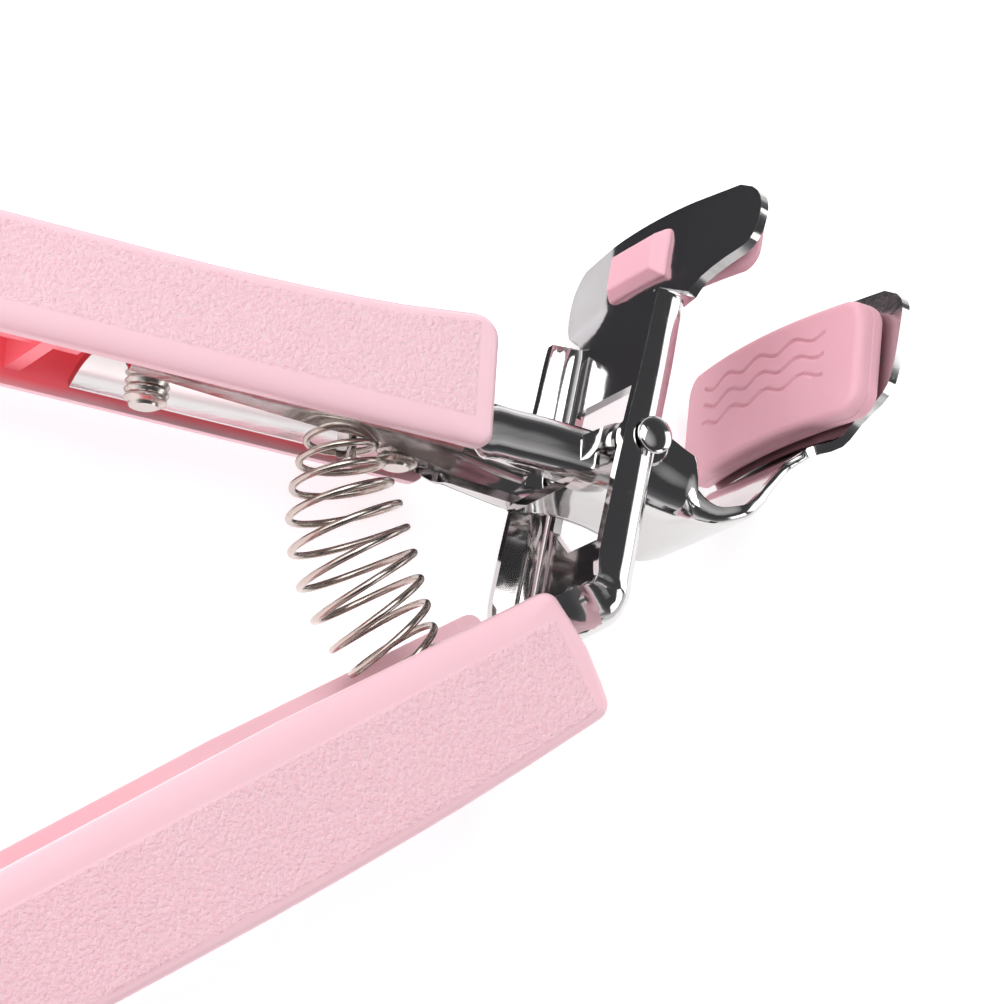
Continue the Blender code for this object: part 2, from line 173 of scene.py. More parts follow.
def carve(piece, tool, operation="DIFFERENCE", solver="MANIFOLD"):
    step = piece.modifiers.new(tool.name, "BOOLEAN")
    step.operation = operation
    step.object = tool
    step.solver = solver
    bake(piece)
    bpy.data.objects.remove(tool, do_unlink=True)


def smoothSkin(piece, sharpAngle=34, weighted=True):
    piece.data.shade_smooth()
    piece.data.set_sharp_from_angle(angle=math.radians(sharpAngle))
    if weighted:
        step = piece.modifiers.new("evenNormals", "WEIGHTED_NORMAL")
        step.keep_sharp = True
        step.weight = 80


def finishPiece(piece, material, body, slotName, *nodes):
    piece.data.materials.clear()
    piece.data.materials.append(material)
    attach(piece, body)
    if nodes:
        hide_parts(*nodes)


def joined(name, pieces):
    work = bmesh.new()
    for piece in pieces:
        work.from_mesh(piece.data)
    mesh = bpy.data.meshes.new(name)
    work.to_mesh(mesh)
    work.free()
    for piece in pieces:
        bpy.data.objects.remove(piece, do_unlink=True)
    return newObject(name, mesh)


def easeCurve(places, values, at):
    # passes through every value and never overshoots between two of them
    slopes = [(b - a) / (q - p) for p, q, a, b in zip(places, places[1:], values, values[1:])]
    tangents = [slopes[0]] + [0 if a * b <= 0 else 2 * a * b / (a + b) for a, b in zip(slopes, slopes[1:])]
    tangents.append(slopes[-1])
    index = max(i for i in range(len(slopes)) if at >= places[i] or i == 0)
    span = places[index + 1] - places[index]
    t = (at - places[index]) / span
    return (values[index] * (1 + 2 * t) * (1 - t) ** 2 + tangents[index] * span * t * (1 - t) ** 2
            + values[index + 1] * t * t * (3 - 2 * t) + tangents[index + 1] * span * t * t * (t - 1))


def ramp(value, low, high):
    share = min(1.0, max(0.0, (value - low) / (high - low)))
    return share * share * (3 - 2 * share)


def turnedPiece(name, profile, centre, axis, around=48):
    # profile is (radius, height) from the low end up; the height runs along axis
    turn = Vector((0, 0, 1)).rotation_difference(Vector(axis)).to_matrix()
    points, faces = [], []
    for radius, height in profile:
        for step in range(around):
            angle = 2 * math.pi * step / around
            points.append(Vector(centre) + turn @ Vector((radius * math.cos(angle), radius * math.sin(angle), height)))
    for ring in range(len(profile) - 1):
        for step in range(around):
            a, b = ring * around + step, ring * around + (step + 1) % around
            faces.append((a, b, b + around, a + around))
    piece = fromPoints(name, points, faces)
    tidyMesh(piece)
    return piece


# finishes

def newFinish(name, **constants):
    material = bpy.data.materials.new(name)
    material.use_nodes = True
    graph = Graph(material.node_tree)
    shader = material.node_tree.nodes["Principled BSDF"]
    for key, value in constants.items():
        shader.inputs[key].default_value = value
    return material, graph, shader


def feed(graph, shader, values):
    for key, value in values.items():
        graph.tree.links.new(value.socket, shader.inputs[key])


def mixColour(graph, share, first, second):
    return graph.add("ShaderNodeMix", {"data_type": "RGBA"}, {"Factor": share, "A": first, "B": second}, 2)


def noise(graph, vector, scale, detail=2.0, rough=0.5):
    return graph.add("ShaderNodeTexNoise", {}, {"Vector": vector, "Scale": scale, "Detail": detail,
                                                "Roughness": rough})


softGlow = {"Subsurface Scale": 0.002, "Subsurface Radius": (1.0, 0.35, 0.3)}
# the inside colour is painted shade for the trough's interior, and the glow colour and its strength are a painted glow
# from emission
plasticLook = {"colour": (0.97, 0.66, 0.725), "deep": (0.92, 0.55, 0.63), "grainScale": 2300.0,
               "grainDepth": 0.00042, "panelStep": 0.2, "panelEnds": (1.6, 2.4), "inside": (0.92, 0.22, 0.27, 1.0),
               "paintedGlow": (0.8, 0.15, 0.18, 1.0), "paintedGlowStrength": 0.17, "roughSmooth": 0.32, "roughGrain": 0.5,
               "subsurface": 0.12}


def plasticFinish(name, spec, tint):
    look = plasticLook
    material, graph, shader = newFinish(name, **softGlow, **{"Subsurface Weight": look["subsurface"], "IOR": 1.46,
                                                             "Emission Strength": look["paintedGlowStrength"]})
    coords = graph.add("ShaderNodeTexCoord", output="Object")
    start = toWorld((*spec["corner"], 0))
    turn = math.radians(spec["angle"])
    local = graph.add("ShaderNodeMapping", {"vector_type": "TEXTURE"},
                      {"Vector": coords, "Location": start, "Rotation": (0, 0, turn)})
    parts = graph.add("ShaderNodeSeparateXYZ", {}, [local])
    along = parts / mm
    depth = parts.other("Y") * (spec["side"] / mm)
    height = parts.other("Z").maths("ABSOLUTE") / mm
    near = (1 - along / spec["taperReach"]).maths("MAXIMUM", 0.0)
    # the outer edge's depth: full in the middle, eased to the front, the rear and the rear corner
    rear = ((along - spec["rearStart"]) / (spec["length"] - spec["rearStart"])).maths("MAXIMUM", 0.0)
    corner = (along - spec["length"] + 6).maths("MAXIMUM", 0.0) * 0.9
    middle = spec["outer"][-3][1]
    rearDrop = (middle - spec["outer"][-1][1]) / 0.58
    outer = near * near * (spec["outer"][0][1] - middle) - rear * rear * rearDrop - corner + middle
    # the grained panel keeps clear of the rounded rims
    panel = (((depth - spec["openBand"]) * 3).clamped()
             * ((outer - depth - spec["outerBand"]) * 3).clamped()
             * ((along - look["panelEnds"][0]) * 3).clamped()
             * ((spec["length"] - look["panelEnds"][1] - along) * 3).clamped()
             * ((height - spec["halfWidth"] + 0.25) * 8).clamped())
    coarse = noise(graph, coords, look["grainScale"], 3.0, 0.55)
    fine = noise(graph, coords, look["grainScale"] * 2.4, 2.0, 0.5)
    sink = noise(graph, coords, 60.0, 2.0, 0.5)
    grain = (coarse * 0.75 + fine * 0.25 - 0.5 + look["panelStep"]) * panel + sink * 0.1
    bump = graph.add("ShaderNodeBump", {}, {"Strength": 1.0, "Distance": look["grainDepth"], "Height": grain})
    # inside the trough the plastic is painted a deeper red as painted shade, and its emission gives a painted glow for
    # light coming through the walls
    inside = (((spec["halfWidth"] - spec["wall"] + 0.2 - height) * 6).clamped()
              * ((outer - depth - spec["wall"] * 0.8) * 4).clamped()
              * ((depth - 0.2) * 1.2).clamped()
              * ((along - spec["wall"] * 0.8) * 4).clamped()
              * ((spec["length"] - spec["wall"] * 0.8 - along) * 4).clamped())
    # the grain's colour flecks in the panel are painted highlight speckle; the cloud gives the plastic's own uneven
    # tone
    cloud = noise(graph, coords, 35.0, 3.0, 0.6)
    first = tuple(c * t for c, t in zip(look["colour"], tint)) + (1.0,)
    second = tuple(c * t for c, t in zip(look["deep"], tint)) + (1.0,)
    outsideToneAndSheen = mixColour(graph, cloud * 0.5 + (coarse - 0.5) * panel * 2.2 + 0.1, first, second)
    # colour takes the trough's painted shade; light is the trough's painted glow
    colour = mixColour(graph, inside, outsideToneAndSheen, look["inside"])
    light = mixColour(graph, inside, (0.0, 0.0, 0.0, 1.0), look["paintedGlow"])
    rough = look["roughSmooth"] + panel * (look["roughGrain"] - look["roughSmooth"]) + (sink - 0.5) * 0.08
    feed(graph, shader, {"Base Color": colour, "Roughness": rough, "Emission Color": light, "Normal": bump})
    return material


rubberLook = {"colour": (0.78, 0.40, 0.475, 1.0), "dust": (0.83, 0.47, 0.545, 1.0), "roughness": 0.48}


def rubberFinish():
    look = rubberLook
    material, graph, shader = newFinish("padRubber", **softGlow, **{"Subsurface Weight": 0.15, "IOR": 1.45})
    coords = graph.add("ShaderNodeTexCoord", output="Object")
    cloud = noise(graph, coords, 90.0, 4.0, 0.6)
    fine = noise(graph, coords, 2600.0, 2.0, 0.5)
    colour = mixColour(graph, cloud * 0.8, look["colour"], look["dust"])
    rough = look["roughness"] + (fine - 0.5) * 0.12
    bump = graph.add("ShaderNodeBump", {}, {"Strength": 0.5, "Distance": 0.00003, "Height": fine})
    feed(graph, shader, {"Base Color": colour, "Roughness": rough, "Normal": bump})
    return material


metalLooks = {
    "brightSteel": {"colour": (0.66, 0.65, 0.65, 1.0), "worn": (0.56, 0.54, 0.53, 1.0), "roughness": 0.07,
                    "spread": 0.10, "wave": 0.00010, "scratch": 0.000008},
    "springWire": {"colour": (0.52, 0.47, 0.43, 1.0), "worn": (0.40, 0.35, 0.31, 1.0), "roughness": 0.2,
                   "spread": 0.14, "wave": 0.00003, "scratch": 0.00001},
    "screwSteel": {"colour": (0.60, 0.57, 0.54, 1.0), "worn": (0.45, 0.41, 0.37, 1.0), "roughness": 0.22,
                   "spread": 0.14, "wave": 0.00003, "scratch": 0.00001},
}


def metalFinish(name):
    look = metalLooks[name]
    material, graph, shader = newFinish(name, Metallic=1.0)
    coords = graph.add("ShaderNodeTexCoord", output="Object")
    stretched = graph.add("ShaderNodeMapping", {}, {"Vector": coords, "Rotation": (0, 0, math.radians(-20)),
                                                    "Scale": (60.0, 900.0, 900.0)})
    patch = noise(graph, coords, 160.0, 4.0, 0.6)
    line = noise(graph, stretched, 1.0, 3.0, 0.6)
    wave = noise(graph, coords, 110.0, 1.0, 0.4)
    colour = mixColour(graph, patch * 0.7, look["colour"], look["worn"])
    speck = ((noise(graph, coords, 2300.0, 2.0, 0.5) - 0.66) * 7).clamped()
    rough = look["roughness"] + (patch * line) * look["spread"] + speck * 0.14
    first = graph.add("ShaderNodeBump", {}, {"Strength": 1.0, "Distance": look["wave"], "Height": wave})
    bump = graph.add("ShaderNodeBump", {}, {"Strength": 1.0, "Distance": look["scratch"], "Height": line,
                                            "Normal": first})
    feed(graph, shader, {"Base Color": colour, "Roughness": rough, "Normal": bump})
    return material


# handles are open troughs, given as (along, depth) in mm from the front corner of the open edge

upperHandle = {"corner": (-17.6, 1.6), "angle": 161.2, "side": -1, "length": 116.0, "halfWidth": 8.5, "wall": 2.0,
               "outer": [(0, 14.0), (12, 12.5), (23, 11.9), (35, 11.6), (60, 11.6), (85, 11.6), (105, 10.8)],
               "front": [], "nose": -0.8, "noseRound": 2.6, "drop": 0.0, "farRise": 0.0, "taperReach": 30.0,
               "rearStart": 70, "web": 3.4, "tip": -1.5, "armEnd": 39.0, "screws": (5.6, 33.3), "openBand": 2.5,
               "outerBand": 0.9, "openRound": 2.3, "round": 1.3}
lowerHandle = {"corner": (-13.9, -13.3), "angle": 196.3, "side": 1, "length": 116.0, "halfWidth": 8.5, "wall": 2.0,
               "outer": [(0, 13.6), (13, 14.4), (25, 14.9), (45, 15.2), (70, 15.0), (90, 14.0), (105, 12.4)],
               "front": [(-0.5, 3.6), (-0.8, 7.0), (-0.5, 10.4)], "nose": 0.0, "noseRound": 1.9, "drop": 0.7,
               "farRise": 1.2, "taperReach": 40.0, "rearStart": 70, "web": 5.6, "tip": 2.2, "armEnd": 44.5,
               "screws": (5.6, 34.5), "openBand": 2.8, "outerBand": 0.9, "openRound": 2.6, "round": 1.3}
insideShape = {"mouthDepth": 6.9, "boss": 4.5, "ribThick": 1.6, "behindArm": (5.0, 1.6),
               "rearRib": (76.5, 2.6), "spineTop": 2.4, "spineHalf": 0.8, "spineGap": 1.6}
screwShape = {"radius": 2.25, "thread": 0.3, "pitch": 0.85, "headRadius": 3.4, "headHeight": 2.0, "seat": 8.8,
              "gap": 0.3, "around": 40, "rows": 150}


def handlePoint(spec, along, depth, z=0.0):
    turn = math.radians(spec["angle"])
    side = spec["side"]
    x = spec["corner"][0] + along * math.cos(turn) - side * depth * math.sin(turn)
    y = spec["corner"][1] + along * math.sin(turn) + side * depth * math.cos(turn)
    return (x, y, z)


def roundedCorners(corners, spacing=1.6):
    # corners are (along, depth, radius); long sides get points at the given spacing
    points = []
    count = len(corners)
    for index in range(count):
        before, here, after = (Vector(corners[(index + k) % count][:2]) for k in (-1, 0, 1))
        radius = corners[index][2]
        toBefore, toAfter = (before - here), (after - here)
        angle = toBefore.angle(toAfter)
        if radius <= 0 or angle > math.radians(176):
            points.append(here)
        else:
            reach = min(radius / math.tan(angle / 2), toBefore.length * 0.48, toAfter.length * 0.48)
            radius = reach * math.tan(angle / 2)
            start, end = here + toBefore.normalized() * reach, here + toAfter.normalized() * reach
            centre = here + (toBefore.normalized() + toAfter.normalized()).normalized() * (radius / math.sin(angle / 2))
            steps = max(2, int(math.degrees(math.pi - angle) / 10))
            first = start - centre
            sweep = first.angle_signed(end - centre)
            for step in range(steps + 1):
                points.append(centre + Matrix.Rotation(-sweep * step / steps, 2) @ first)
        gap = (after - points[-1]).length
        nextRadius = corners[(index + 1) % count][2]
        for step in range(1, int((gap - nextRadius * 1.2) / spacing)):
            points.append(points[-1] + (after - points[-1]).normalized() * spacing)
    return points


def stackedPlate(name, outline, halfWidth, roundDepth, insetOf, spec, rise=0.0, rings=7):
    # an outline given width, its two rims rounded by insetOf(point) inwards and roundDepth across
    count = len(outline)
    area = sum(a.x * b.y - b.x * a.y for a, b in zip(outline, outline[1:] + outline[:1]))
    inward = []
    for index in range(count):
        along = (outline[(index + 1) % count] - outline[index - 1]).normalized()
        inward.append(Vector((-along.y, along.x)) * (1 if area > 0 else -1))
    levels = []
    for step in range(rings):
        angle = math.pi / 2 * step / (rings - 1)
        levels.append((halfWidth - roundDepth * (1 - math.sin(angle)), 1 - math.cos(angle)))
    levels = [(-z, share) for z, share in reversed(levels)] + levels
    points, faces = [], []
    for z, share in levels:
        for point, normal in zip(outline, inward):
            moved = point + normal * insetOf(point) * share
            lifted = moved.y - (rise * ramp(-z, 2, 6) * ramp(3.0 - moved.y, 0, 1.5) if rise else 0)
            points.append(handlePoint(spec, moved.x, lifted, z))
    for ring in range(len(levels) - 1):
        for index in range(count):
            a, b = ring * count + index, ring * count + (index + 1) % count
            faces.append((a, b, b + count, a + count))
    faces.append(tuple(range(count)))
    faces.append(tuple(reversed(range((len(levels) - 1) * count, len(levels) * count))))
    piece = fromPoints(name, points, faces)
    tidyMesh(piece)
    return piece


def outerDepth(spec, along):
    places, depths = zip(*spec["outer"])
    return easeCurve(places, depths, min(max(along, 0), places[-1]))


def handleCorners(spec, inset):
    length = spec["length"] - inset
    rear = spec["outer"][-1][1] - inset
    start = inset or spec["nose"]
    corners = [(start, -4.0 if inset else 0.0, 0.0 if inset else 1.5)]
    if not inset:
        corners += [(along, depth, 3.0) for along, depth in spec["front"]]
    corners.append((start, outerDepth(spec, 0) - inset, 1.2 if inset else spec["noseRound"]))
    corners += [(along, outerDepth(spec, along) - inset, 0.0) for along in range(5, 104, 5)]
    corners += [(length - 5, rear - 1.0, 4.0), (length, rear - 5.5, 4.0),
                (length, -4.0 if inset else 0.0, 0.0 if inset else 1.5)]
    if not inset:
        corners += [(34.0, -spec["drop"], 0.0), (18.0, -spec["drop"] * 0.5, 0.0)]
    return corners


def blockIn(name, spec, lowAlong, highAlong, lowDepth, highDepth, half):
    points = [handlePoint(spec, a, d, z) for z in (-half, half) for a, d in
              ((lowAlong, lowDepth), (highAlong, lowDepth), (highAlong, highDepth), (lowAlong, highDepth))]
    faces = [(0, 1, 2, 3), (7, 6, 5, 4), (0, 4, 5, 1), (1, 5, 6, 2), (2, 6, 7, 3), (3, 7, 4, 0)]
    piece = fromPoints(name, points, faces)
    tidyMesh(piece)
    return piece


def postIn(name, spec, along, radius, lowDepth, highDepth, around=40):
    start, end = Vector(handlePoint(spec, along, lowDepth)), Vector(handlePoint(spec, along, highDepth))
    profile = [(0, 0), (radius, 0), (radius, (end - start).length), (0, (end - start).length)]
    return turnedPiece(name, profile, start, (end - start).normalized(), around)


def makeHandle(name, spec, material, body):
    def rim(point):
        openSide = ramp(1.6 - point.y, 0, 0.8) * ramp(point.x, 1.5, 5) * ramp(spec["length"] - point.x, 1.5, 5)
        return spec["round"] + (spec["openRound"] - spec["round"]) * openSide

    shell = stackedPlate(name, roundedCorners(handleCorners(spec, 0)), spec["halfWidth"], 1.25, rim, spec,
                         spec["farRise"])
    inside = insideShape
    inner = spec["halfWidth"] - spec["wall"]
    hollow = roundedCorners(handleCorners(spec, spec["wall"]), 3.0)
    carve(shell, stackedPlate("hollow", hollow, inner, 0.7, lambda point: 0.7, spec, rings=4))
    carve(shell, blockIn("mouth", spec, -4, spec["wall"] + 3, -3, inside["mouthDepth"], inner - 0.1))

    def floorAt(along):
        return outerDepth(spec, along) - spec["wall"] / 2

    end = spec["length"]
    top = inside["spineTop"]
    spine = [Vector((spec["armEnd"] + inside["spineGap"], top))]
    spine += [Vector((along, floorAt(along))) for along in range(46, int(end) - 6, 8)]
    spine += [Vector((end - 1.5, floorAt(end) - 3)), Vector((end - 1.5, top))]
    carve(shell, stackedPlate("spine", spine, inside["spineHalf"], 0.2, lambda point: 0.2, spec, rings=3), "UNION")
    behind, behindTop = inside["behindArm"]
    for along, top in ((spec["armEnd"] + behind, behindTop), inside["rearRib"]):
        rib = blockIn("rib", spec, along, along + inside["ribThick"], top, floorAt(along), inner + 0.4)
        carve(shell, rib, "UNION")
    for along in spec["screws"]:
        carve(shell, postIn("boss", spec, along, inside["boss"], spec["web"] + 0.8, floorAt(along)), "UNION")
        carve(shell, postIn("bore", spec, along, screwShape["radius"] + 0.3, 2, 20))
        carve(shell, postIn("pocket", spec, along, screwShape["headRadius"] + 0.4, screwShape["seat"], 20))
    smoothSkin(shell)
    finishPiece(shell, material, body, "handle_plastic", name.replace("Handle", "_handle"))
    return shell


makeHandle("upperHandle", upperHandle, plasticFinish("upperPlastic", upperHandle, (1.0, 1.0, 1.0)), movingSide)
makeHandle("lowerHandle", lowerHandle, plasticFinish("lowerPlastic", lowerHandle, (0.99, 0.96, 0.96)), fixedSide)
print("handles moulded")


# both arms are pressed from sheet

armShape = {"sheet": 1.0, "corner": 2.4, "channelCorner": 2.0, "spoonCorner": 4.5, "edgeRound": 0.24}
jawFrame = {"tilt": 64.7, "web": 2.2, "half": 10.5, "window": (-8.7, 8.4), "windowHalf": 8.3}
frontPlate = {"foot": (22.7, -1.6), "tilt": 68.6, "bend": 80.0}


def sectionAcross(corner, halfWidth, wall, bow, lip=0.0):
    # (z, depth) across the sheet, from one wall's free edge to the other's; a lip curls the edge in
    radius = min(corner, wall * 0.6)
    flat = halfWidth - radius
    curl = min(1.1, lip)
    wall -= curl
    side = [(halfWidth, radius + (wall - radius) * share) for share in (1, 0.66, 0.33, 0) if wall > radius]
    side = side or [(halfWidth, radius)] * 4
    rolled = [(halfWidth - curl - (lip - curl) * share, wall + curl) for share in (1, 0.5)]
    for step in range(5):
        turn = math.pi / 2 * (1 - step / 5)
        rolled.append((halfWidth - curl * (1 - math.cos(turn)), wall + curl * math.sin(turn)))
    side = rolled + side
    for step in range(1, 6):
        turn = math.pi / 2 * step / 6
        side.append((halfWidth - radius * (1 - math.cos(turn)), radius * (1 - math.sin(turn))))
    side.append((flat, 0.0))
    inner = min(flat * 0.97, jawFrame["windowHalf"])
    side += [(inner * share, 0.0) for share in (1, 0.8, 0.6, 0.4, 0.2)]
    half = [(z, depth - bow * z * z) for z, depth in side]
    return half + [(0.0, 0.0)] + [(-z, depth) for z, depth in reversed(half)]


def smoothSections(sections, spacing=0.8):
    # rows between the given sections; each value eases through its own list
    places = [0.0]
    for first, second in zip(sections, sections[1:]):
        places.append(places[-1] + (Vector(first[:2]) - Vector(second[:2])).length)
    columns = list(zip(*sections))
    rows = []
    for low, high in zip(places, places[1:]):
        steps = max(1, min(14, math.ceil((high - low) / spacing)))
        rows += [[easeCurve(places, column, low + (high - low) * step / steps) for column in columns]
                 for step in range(steps)]
    return rows + [list(sections[-1])]


def pressedSheet(name, sections, thickness, opening=None, corner=armShape["corner"]):
    work = bmesh.new()
    rows = []
    for x, y, direction, *across in smoothSections(sections):
        turn = math.radians(direction)
        row = []
        for z, depth in sectionAcross(corner, *across):
            row.append(work.verts.new((x - math.sin(turn) * depth, y + math.cos(turn) * depth, z)))
        rows.append(row)
    for first, second in zip(rows, rows[1:]):
        for a, b, c, d in zip(first, first[1:], second[1:], second):
            face = work.faces.new((a, b, c, d))
            if opening and opening(face.calc_center_median()):
                work.faces.remove(face)
    loose = [vert for vert in work.verts if not vert.link_faces]
    bmesh.ops.delete(work, geom=loose, context="VERTS")
    bmesh.ops.remove_doubles(work, verts=work.verts, dist=0.004)
    bmesh.ops.recalc_face_normals(work, faces=work.faces)
    for vert in work.verts:
        vert.co = toWorld(vert.co)
    mesh = bpy.data.meshes.new(name)
    work.to_mesh(mesh)
    work.free()
    sheet = newObject(name, mesh)
    shell = sheet.modifiers.new("sheet", "SOLIDIFY")
    shell.thickness = thickness * mm
    shell.offset = 0.0
    edge = sheet.modifiers.new("edge", "BEVEL")
    edge.width = armShape["edgeRound"] * mm
    edge.segments = 3
    edge.limit_method = "ANGLE"
    edge.angle_limit = math.radians(48)
    edge.use_clamp_overlap = True
    bake(sheet)
    return sheet


def framePoint(s, ahead):
    turn = math.radians(jawFrame["tilt"])
    return (math.cos(turn) * s + math.sin(turn) * ahead, math.sin(turn) * s - math.cos(turn) * ahead)


def rearSections():
    sections = []
    heading = lowerHandle["angle"] - 180
    for along, half in ((lowerHandle["armEnd"], 5.5), (20, 5.5), (1.0, 5.5), (-0.6, 5.9), (-3.2, 8.2)):
        x, y, z = handlePoint(lowerHandle, along, lowerHandle["web"])
        sections.append((x, y, heading, half, 4.6, 0))
    for share, out in ((0.12, -1.9), (0.38, -0.8), (0.62, 0.8), (0.88, 1.9)):
        turn = heading + (jawFrame["tilt"] - heading) * share
        angle = math.radians(turn)
        push = 0.25 * (1 - abs(share - 0.5))
        x = -7.2 + math.cos(angle) * out - math.sin(angle) * push
        y = -17.1 + math.sin(angle) * out + math.cos(angle) * push
        sections.append((x, y, turn, 9.0 + 1.5 * share / 0.85, 4.5, 0))
    for s, web, wall in ((-14.0, 0.9, 4.8), (-8.7, 1.0, 4.7), (0, 1.25, 4.4), (8.4, 1.6, 4.1), (15.8, 1.9, 3.9)):
        sections.append((*framePoint(s, web), jawFrame["tilt"], jawFrame["half"], wall, 0))
    bow = 1 / 160
    for s, half, share in ((16.5, 10.8, 0.1), (18.0, 12.2, 0.4), (19.4, 15.2, 0.7), (20.8, 17.4, 1),
                           (22.6, 18.5, 1), (24.4, 18.7, 1), (26.0, 18.3, 1), (27.3, 17.0, 1), (28.0, 15.2, 1)):
        place = framePoint(s, jawFrame["web"] - 0.25 * (1 - share))
        sections.append((*place, jawFrame["tilt"], half, 0, bow * share))
    return sections


def frontSections():
    bow = 1 / (2 * frontPlate["bend"])
    sections = [
        (-7.6, -2.4, -20, 7.5, 4.2, 0), (-3.6, -3.6, -22, 7.5, 6.4, 0), (0.0, -5.2, -26, 7.5, 6.9, 0),
        (3.0, -6.8, -28, 7.5, 6.1, 0), (4.4, -7.5, -25, 7.5, 5.7, 0), (5.1, -7.85, -22, 7.6, 2.5, 0),
        (8.0, -8.9, -6, 8.2, 1.2, 0), (10.4, -8.8, 10, 8.6, 1.0, 0), (12.8, -7.8, 32, 8.4, 0.9, 0),
        (14.8, -6.2, 40, 8.2, 0.7, 0), (17.2, -4.5, 32, 8.2, 0.4, 0), (19.6, -3.4, 26, 9.4, 0, 0),
        (21.7, -2.6, 44, 11.4, 0, bow)]
    turn = math.radians(frontPlate["tilt"])
    for rise, half in ((0.4, 13.2), (1.9, 15.9), (3.4, 17.4), (6.0, 18.1), (9.0, 18.5), (12.0, 18.7), (13.4, 17.8),
                       (14.2, 16.0)):
        sections.append((frontPlate["foot"][0] + math.cos(turn) * rise, frontPlate["foot"][1] + math.sin(turn) * rise,
                         frontPlate["tilt"], half, 0, bow))
    return sections


def frontChannel():
    sections = []
    web = upperHandle["web"]
    for along, depth, half, wall, bow, lip in (
            (-13.0, 4.7, 7.5, 4.9, 0, 3.2), (-9, 5.0, 7.2, 4.9, 0, 2.8), (-4.5, 5.3, 6.5, 4.9, 0, 2.0),
            (-1.6, 5.4, 6.0, 5.0, 0, 1.4), (-0.4, 4.9, 5.8, 4.1, 0, 0.6), (1.0, web, 5.8, 0.8, -0.04, 0),
            (3.0, web, 5.9, 0, -0.06, 0), (20, web, 5.9, 0, -0.06, 0), (upperHandle["armEnd"], web, 5.9, 0, -0.06, 0)):
        x, y, z = handlePoint(upperHandle, along, depth)
        sections.append((x, y, upperHandle["angle"], half, wall, bow, lip))
    return sections


def windowOpening(point):
    turn = math.radians(jawFrame["tilt"])
    s = math.cos(turn) * point.x + math.sin(turn) * point.y
    back = -math.sin(turn) * point.x + math.cos(turn) * point.y
    low, high = jawFrame["window"]
    return low < s < high and abs(point.z) < jawFrame["windowHalf"] - 0.01 and abs(back + 1.4) < 1.2


def softEdges(piece, width, segments):
    step = piece.modifiers.new("edge", "BEVEL")
    step.width = width * mm
    step.segments = segments
    bake(piece)
    return piece


gussetShape = {"corners": ((-9.2, 3.4), (-9.2, 8.8), (-4.6, 8.8)), "ahead": 1.0, "half": 0.48, "soft": 0.12}


def gusset(side):
    # a web corner left at the foot of each bar
    g = gussetShape
    points = [(*framePoint(s, g["ahead"] + lift), side * z) for lift in (-g["half"], g["half"])
              for s, z in g["corners"]]
    piece = fromPoints("gusset", points, [(0, 1, 2), (5, 4, 3), (0, 3, 4, 1), (1, 4, 5, 2), (2, 5, 3, 0)])
    tidyMesh(piece)
    return softEdges(piece, g["soft"], 2)


tongueShape = {"along": (10.8, 11.9), "depth": (-2.4, 3.2), "half": 1.4, "soft": 0.4}


def springTongue():
    # the spring's top coil hooks over this
    t = tongueShape
    return softEdges(blockIn("tongue", upperHandle, *t["along"], *t["depth"], t["half"]), t["soft"], 3)


lipShape = {"rows": [(1.0, 3.2), (6, 2.6), (9, 2.0), (16, 2.0), (28, 1.5), (37.5, 1.0)], "edge": (5.6, 1.0),
            "slope": 0.65, "sheet": 0.8}


def nearLip():
    # the channel's near edge is curled inwards, less and less towards the rear
    high, deep = lipShape["edge"]
    points, faces = [], []
    for along, reach in lipShape["rows"]:
        rise = lipShape["slope"] * reach
        for z, depth in ((high + 0.3, deep + 0.35), (high, deep), (high - reach / 2, deep - rise / 2),
                         (high - reach, deep - rise)):
            points.append(handlePoint(upperHandle, along, depth, z))
    for row in range(len(lipShape["rows"]) - 1):
        faces += [(row * 4 + i, row * 4 + i + 1, row * 4 + i + 5, row * 4 + i + 4) for i in range(3)]
    lip = fromPoints("lip", points, faces)
    shell = lip.modifiers.new("sheet", "SOLIDIFY")
    shell.thickness = lipShape["sheet"] * mm
    shell.offset = 0.0
    bake(lip)
    tidyMesh(lip)
    return lip


brightSteel = metalFinish("brightSteel")
rearArm = joined("rearJawFrame", [pressedSheet("frame", rearSections(), armShape["sheet"], windowOpening),
                                  gusset(1), gusset(-1)])
smoothSkin(rearArm, 40)
finishPiece(rearArm, brightSteel, fixedSide, "bright_steel", "rear_jaw_frame")
spoon = pressedSheet("spoon", frontSections(), armShape["sheet"], None, armShape["spoonCorner"])
channel = pressedSheet("channel", frontChannel(), armShape["sheet"] * 0.94, None, armShape["channelCorner"])
frontArm = joined("frontJawArm", [spoon, channel, springTongue(), nearLip()])
smoothSkin(frontArm, 40)
finishPiece(frontArm, brightSteel, movingSide, "bright_steel", "front_jaw_arm")
print("arms pressed")


# rubber pads

padShapes = {
    "rearPad": {"place": framePoint(0, jawFrame["web"]), "tilt": jawFrame["tilt"], "half": 15.8, "aside": 0.0,
                "thick": 2.2, "height": 7.6, "middle": 23.3, "facing": 1, "grooves": 0, "corner": 2.4, "edge": 0.8,
                "grid": (30, 90, 10)},
    "frontPad": {"place": frontPlate["foot"], "tilt": frontPlate["tilt"], "half": 16.3, "aside": 0.7, "thick": 3.2,
                 "height": 12.6, "middle": 6.2, "facing": -1, "grooves": 3, "corner": 2.6, "edge": 0.8,
                 "grid": (110, 230, 20)},
}
padBack = 0.8
plugShape = {"low": -6.0, "high": 4.7, "height": 5.4, "stands": 1.9, "chamfer": 1.1, "soft": 0.22}
grooveShape = {"spacing": 2.1, "rise": 1.2, "wave": 0.42, "length": 6.2, "width": 0.24, "depth": 0.3, "reach": 11.6,
               "middle": -0.1, "shift": 0.12, "base": 1.15, "notch": 0.45}


def padPoint(pad, up, across, out, bend=80.0):
    # out is measured from the plate's mid surface towards the pad's front face
    turn = math.radians(pad["tilt"])
    y = -pad["facing"] * out - across * across / (2 * bend)
    x0, y0 = pad["place"]
    return (x0 + math.cos(turn) * up - math.sin(turn) * y, y0 + math.sin(turn) * up + math.cos(turn) * y, across)


